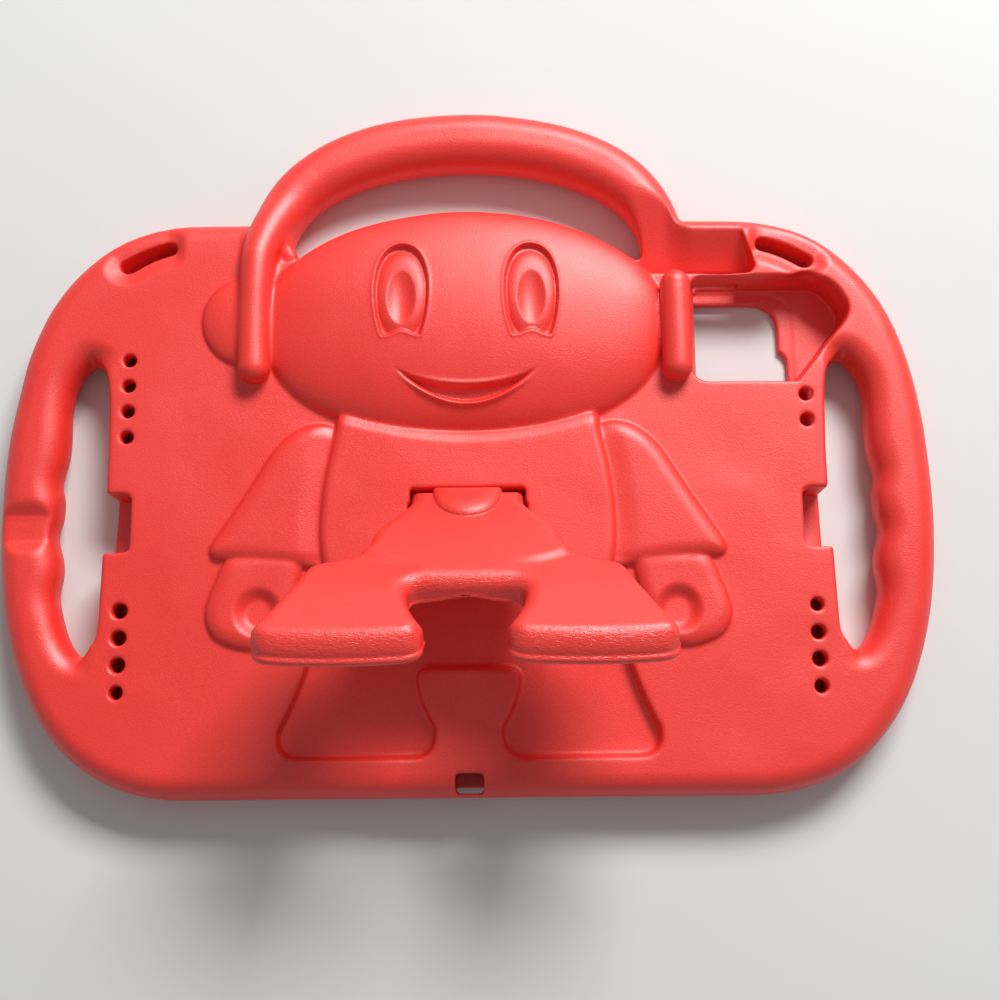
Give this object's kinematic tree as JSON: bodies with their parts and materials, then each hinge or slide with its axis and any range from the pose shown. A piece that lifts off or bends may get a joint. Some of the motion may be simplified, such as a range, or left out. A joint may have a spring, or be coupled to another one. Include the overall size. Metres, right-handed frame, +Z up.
{
  "type": "kids tablet case",
  "caption": "Soft foam tablet case with side grips, a top grip, a figure in relief, and its legs as a folding stand.",
  "frame": {"origin": "Middle of the bottom of the case's box, on the surface that the front lip lies on.", "axes": "X runs along the tablet's long side, Y from its lower to its upper long side towards the top grip, Z up through the back."},
  "size_m": [0.3428, 0.2604, 0.0869],
  "materials": {
    "shell_foam": "soft closed-cell foam with a fine moulded grain, satin",
    "stand_foam": "the same foam, with a wrinkled skin on its rounded edges"
  },
  "bodies": {
    "case": {"case_shell": "shell_foam"},
    "stand": {"kickstand": "stand_foam"}
  },
  "joints": [
    {"name": "stand_fold", "type": "hinge", "parent": "case", "child": "stand", "pos_m": [0, -0.02438, 0.0174], "axis": [-1, 0, 0], "range_deg": [-47, 7]}
  ]
}
